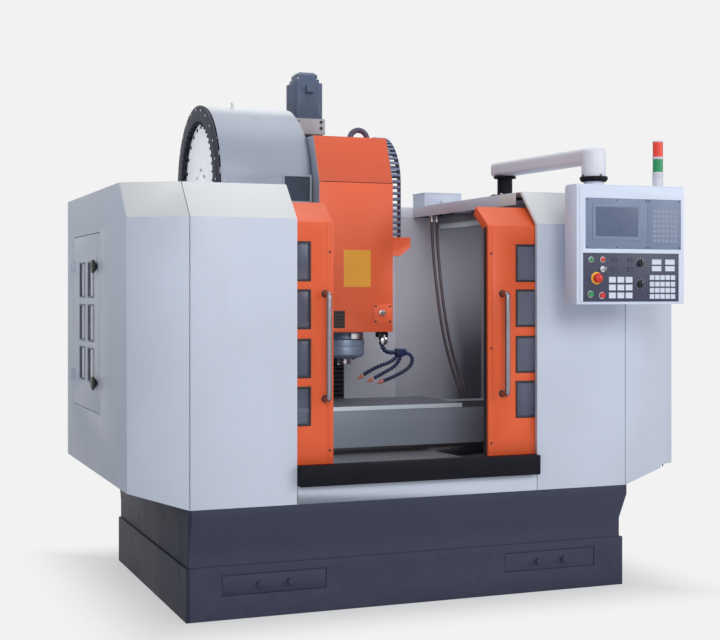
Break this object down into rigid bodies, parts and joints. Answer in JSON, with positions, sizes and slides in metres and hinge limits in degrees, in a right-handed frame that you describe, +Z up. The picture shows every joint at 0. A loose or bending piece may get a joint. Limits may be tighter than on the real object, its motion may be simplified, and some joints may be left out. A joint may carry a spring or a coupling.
{
  "type": "cnc machining center",
  "caption": "Vertical machining centre in a folded-sheet enclosure with sliding doors, swing-arm console, disc tool magazine and a cross-table under the spindle.",
  "frame": {"origin": "on the floor, midway between the plinth's sides and midway between its front and back; the spindle axis stands at X = 0", "axes": "+X to the operator's right, +Y from the operator to the column, +Z up"},
  "size_m": [2.873, 2.48, 2.703],
  "materials": {
    "panel_paint": "light blue-grey fine-textured enamel on folded sheet",
    "plinth_paint": "dark blue-grey enamel",
    "door_paint": "orange gloss enamel",
    "black_paint": "black semi-matt enamel",
    "chamber_paint": "mid grey enamel",
    "guard_paint": "mid grey enamel",
    "magazine_paint": "grey enamel",
    "casting_paint": "grey casting enamel over filled iron",
    "console_paint": "pale grey enamel",
    "motor_paint": "slate grey enamel",
    "disc_paint": "white enamel",
    "stainless": "brushed stainless sheet",
    "steel": "ground and turned steel",
    "ground_iron": "ground cast iron",
    "chrome": "polished",
    "door_pane": "smoke-grey polycarbonate",
    "black_plastic": "moulded",
    "pot_plastic": "moulded nylon",
    "keypad_plastic": "membrane panel",
    "lens_plastic": "signal lamp with red and green lenses",
    "red_plastic": "moulded",
    "green_plastic": "moulded",
    "nozzle_plastic": "moulded jointed pipe",
    "chain_plastic": "moulded link chain",
    "bellows_cloth": "coated cloth, pleated",
    "hose_rubber": "smooth rubber hose",
    "lamp_housing": "extruded, with a clear lens"
  },
  "bodies": {
    "root": {"plinth": "plinth_paint", "front_panel_left": "panel_paint", "front_panel_right": "panel_paint", "side_panel_left": "panel_paint", "side_panel_right": "panel_paint", "roof_and_rear_panels": "panel_paint", "doorway_sill": "black_paint", "chamber_walls": "chamber_paint", "chip_tray": "stainless", "work_lamp": "lamp_housing", "bed_casting": "casting_paint", "levelling_feet": "steel", "guide_rails": "steel", "column_casting": "casting_paint", "z_motor": "motor_paint", "z_bellows": "bellows_cloth", "cable_chain": "chain_plastic", "magazine_cover": "magazine_paint", "magazine_frame": "casting_paint", "cabinet": "panel_paint", "arm_post": "black_paint", "roof_hose_1": "hose_rubber", "roof_hose_2": "hose_rubber"},
    "hatch_left": {"plinth_hatch_left": "plinth_paint"},
    "hatch_right": {"plinth_hatch_right": "plinth_paint"},
    "left_door": {"left_door": "door_paint", "left_door_glass": "door_pane", "left_door_handle": "chrome"},
    "right_door": {"right_door": "door_paint", "right_door_glass": "door_pane", "right_door_handle": "chrome"},
    "side_door": {"side_door": "panel_paint", "side_door_glass": "door_pane"},
    "side_knob_low": {"side_knob_low": "black_plastic"},
    "side_knob_high": {"side_knob_high": "black_plastic"},
    "saddle": {"saddle": "casting_paint", "way_guard": "guard_paint", "x_bellows": "bellows_cloth", "way_cover_rear": "stainless"},
    "way_cover_middle": {"way_cover_middle": "stainless"},
    "table": {"table": "ground_iron"},
    "head": {"head_casting": "casting_paint", "head_cover": "door_paint", "spindle_housing": "steel", "head_lines": "nozzle_plastic"},
    "spindle": {"spindle": "steel"},
    "z_screw": {"z_screw": "steel"},
    "magazine": {"magazine_ring": "pot_plastic", "magazine_disc": "disc_paint"},
    "cabinet_door": {"cabinet_door": "panel_paint"},
    "console_arm": {"console_arm": "console_paint"},
    "console": {"console_box": "console_paint", "console_panels": "keypad_plastic", "stack_light": "lens_plastic"},
    "emergency_stop": {"emergency_stop": "red_plastic"},
    "start_button": {"start_button": "green_plastic"},
    "stop_button": {"stop_button": "red_plastic"},
    "key_switch": {"key_switch": "steel"},
    "mode_knob": {"mode_knob": "black_plastic"},
    "feed_knob": {"feed_knob": "black_plastic"}
  },
  "joints": [
    {"name": "left_door_slide", "type": "slide", "parent": "root", "child": "left_door", "axis": [1, 0, 0], "range_m": [-0.027, 0.422]},
    {"name": "right_door_slide", "type": "slide", "parent": "root", "child": "right_door", "axis": [1, 0, 0], "range_m": [-0.357, 0.109]},
    {"name": "side_door_hinge", "type": "hinge", "parent": "root", "child": "side_door", "pos_m": [-1.349, 0.742, 1.29], "axis": [0, 0, 1], "range_deg": [-110, 0]},
    {"name": "side_knob_low_turn", "type": "hinge", "parent": "side_door", "child": "side_knob_low", "pos_m": [-1.34, 0.072, 1], "axis": [1, 0, 0], "range_deg": [0, 90]},
    {"name": "side_knob_high_turn", "type": "hinge", "parent": "side_door", "child": "side_knob_high", "pos_m": [-1.34, 0.072, 1.567], "axis": [1, 0, 0], "range_deg": [0, 90]},
    {"name": "hatch_left_pull", "type": "slide", "parent": "root", "child": "hatch_left", "axis": [0, -1, 0], "range_m": [0, 0.1]},
    {"name": "hatch_right_pull", "type": "slide", "parent": "root", "child": "hatch_right", "axis": [0, -1, 0], "range_m": [0, 0.1]},
    {"name": "saddle_slide", "type": "slide", "parent": "root", "child": "saddle", "axis": [0, 1, 0], "range_m": [-0.15, 0.34], "deforming": ["roof_hose_1", "roof_hose_2"]},
    {"name": "way_cover_slide", "type": "slide", "parent": "root", "child": "way_cover_middle", "axis": [0, 1, 0], "range_m": [-0.08, 0.175]},
    {"name": "table_slide", "type": "slide", "parent": "saddle", "child": "table", "axis": [1, 0, 0], "range_m": [-0.425, 0.425], "deforming": ["x_bellows"]},
    {"name": "head_slide", "type": "slide", "parent": "root", "child": "head", "axis": [0, 0, 1], "range_m": [-0.07, 0.44], "deforming": ["z_bellows", "cable_chain"]},
    {"name": "spindle_spin", "type": "hinge", "parent": "head", "child": "spindle", "pos_m": [0, 0.228, 1.1], "axis": [0, 0, 1], "continuous": true},
    {"name": "z_screw_turn", "type": "hinge", "parent": "root", "child": "z_screw", "pos_m": [0, 0.88, 1.5], "axis": [0, 0, 1], "range_deg": [-2600, 16000]},
    {"name": "magazine_turn", "type": "hinge", "parent": "root", "child": "magazine", "pos_m": [-0.7, 0.55, 2.018], "axis": [1, 0, 0], "continuous": true},
    {"name": "cabinet_door_hinge", "type": "hinge", "parent": "root", "child": "cabinet_door", "pos_m": [1.298, 1.322, 1.09], "axis": [0, 0, 1], "range_deg": [-110, 0]},
    {"name": "console_arm_swing", "type": "hinge", "parent": "root", "child": "console_arm", "pos_m": [0.733, -0.208, 2.05], "axis": [0, 0, 1], "range_deg": [-12, 15]},
    {"name": "console_swing", "type": "hinge", "parent": "console_arm", "child": "console", "pos_m": [0.795, -0.99, 1.97], "axis": [0, 0, 1], "range_deg": [-75, 8]},
    {"name": "emergency_stop_press", "type": "slide", "parent": "console", "child": "emergency_stop", "axis": [0, 1, 0], "range_m": [0, 0.006]},
    {"name": "start_press", "type": "slide", "parent": "console", "child": "start_button", "axis": [0, 1, 0], "range_m": [0, 0.004], "stiffness_N_per_m": 800},
    {"name": "stop_press", "type": "slide", "parent": "console", "child": "stop_button", "axis": [0, 1, 0], "range_m": [0, 0.004], "stiffness_N_per_m": 800},
    {"name": "key_switch_turn", "type": "hinge", "parent": "console", "child": "key_switch", "pos_m": [0.785, -1.08, 1.549], "axis": [0, 1, 0], "range_deg": [0, 90]},
    {"name": "mode_knob_turn", "type": "hinge", "parent": "console", "child": "mode_knob", "pos_m": [0.99, -1.08, 1.578], "axis": [0, 1, 0], "range_deg": [-150, 150]},
    {"name": "feed_knob_turn", "type": "hinge", "parent": "console", "child": "feed_knob", "pos_m": [0.99, -1.08, 1.48], "axis": [0, 1, 0], "range_deg": [-150, 150]}
  ],
  "couplings": [
    {"joint": "way_cover_slide", "follows": "saddle_slide", "ratio": 0.5},
    {"joint": "z_screw_turn", "follows": "head_slide", "rad_per_m": 628.32}
  ]
}
